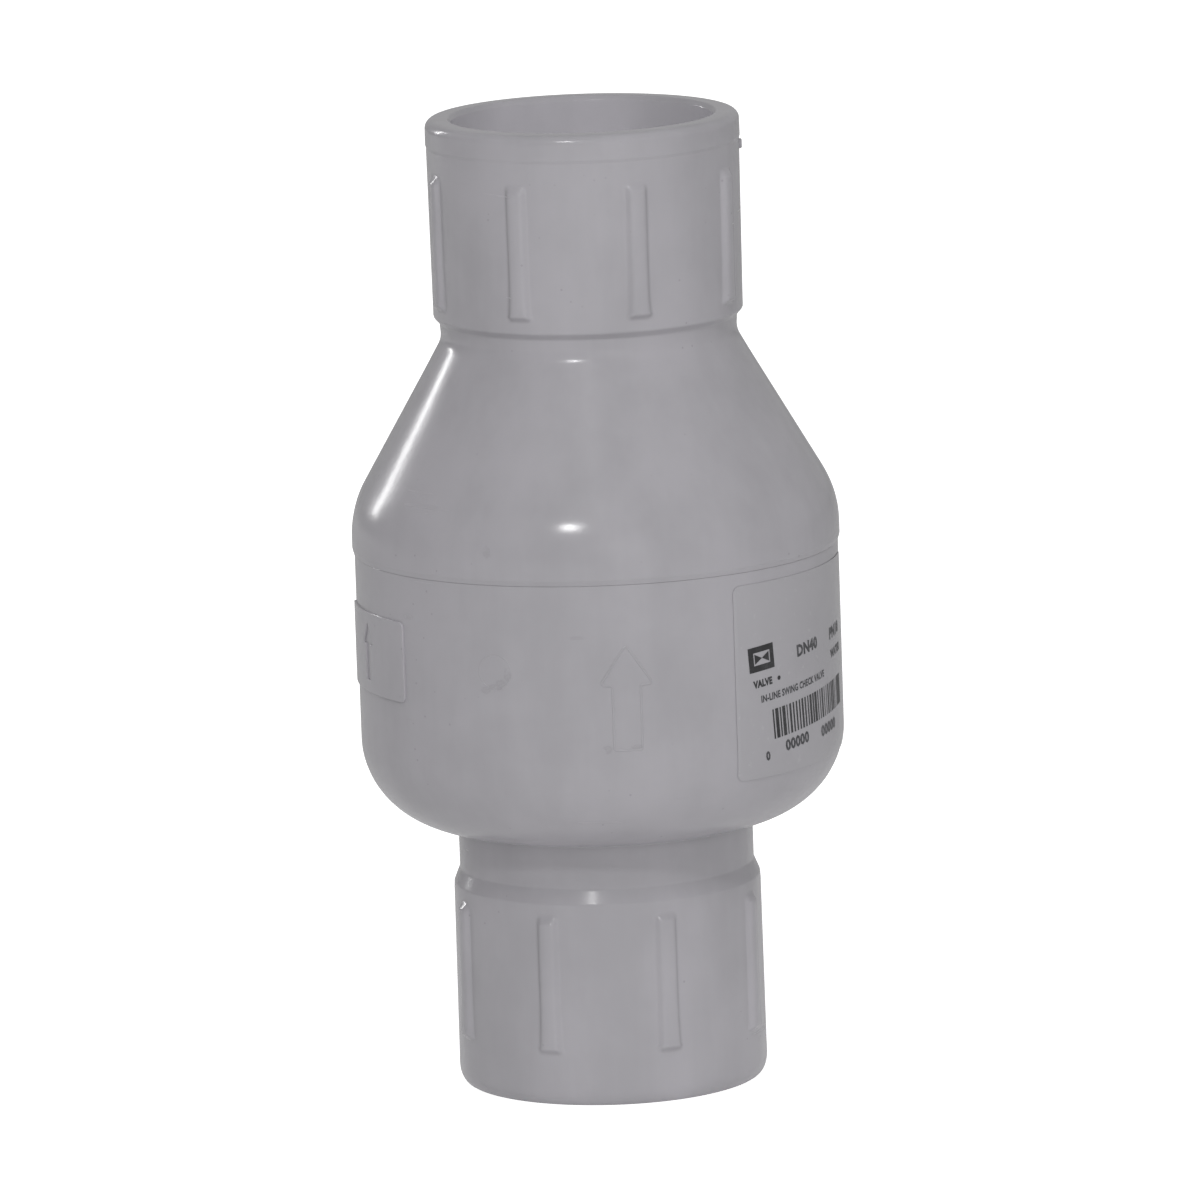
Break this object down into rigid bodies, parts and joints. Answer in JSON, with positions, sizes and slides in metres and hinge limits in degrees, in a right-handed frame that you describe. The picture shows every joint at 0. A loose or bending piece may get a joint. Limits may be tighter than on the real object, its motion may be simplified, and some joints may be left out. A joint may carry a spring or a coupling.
{
  "type": "swing check valve",
  "caption": "In-line swing check valve with ribbed socket ends, which lets liquid through one way and closes against backflow.",
  "frame": {"origin": "on the valve's axis, in the plane of the inlet rim that it stands on", "axes": "+Z along the flow, from the inlet socket to the outlet socket; the flapper's hinge is on the +Y side, along X"},
  "size_m": [0.091, 0.091, 0.182],
  "materials": {
    "pvc_grey": "moulded, smooth and glossy",
    "pvc_dark": "moulded, satin",
    "epdm_black": "moulded, matt",
    "stainless_steel": "bright, as drawn and stamped",
    "acetal_white": "turned, smooth",
    "label_film": "thin film printed in black"
  },
  "bodies": {
    "valve_body": {"outlet_casing": "pvc_grey", "inlet_casing": "pvc_grey", "seat_ring": "pvc_dark", "seat_oring": "epdm_black", "seat_snap_ring": "stainless_steel", "hinge_bracket": "stainless_steel", "bracket_screw_left": "stainless_steel", "bracket_screw_right": "stainless_steel", "hinge_pin": "stainless_steel", "pin_clip_left": "stainless_steel", "pin_clip_right": "stainless_steel", "closing_spring": "stainless_steel", "label": "label_film"},
    "flapper": {"flapper_arm": "pvc_dark", "pin_bush_left": "acetal_white", "pin_bush_right": "acetal_white", "flapper_disc": "pvc_dark", "disc_facing": "epdm_black", "facing_retainer": "stainless_steel", "disc_bolt": "stainless_steel", "disc_washer": "stainless_steel", "disc_nut": "stainless_steel", "stop_bumper": "epdm_black"}
  },
  "joints": [
    {"name": "flapper_swing", "type": "hinge", "parent": "valve_body", "child": "flapper", "pos_m": [0, 0.031, 0.0754], "axis": [-1, 0, 0], "range_deg": [0, 83], "stiffness_Nm_per_rad": 0.005, "springref_deg": -20.05, "deforming": ["closing_spring"]}
  ]
}
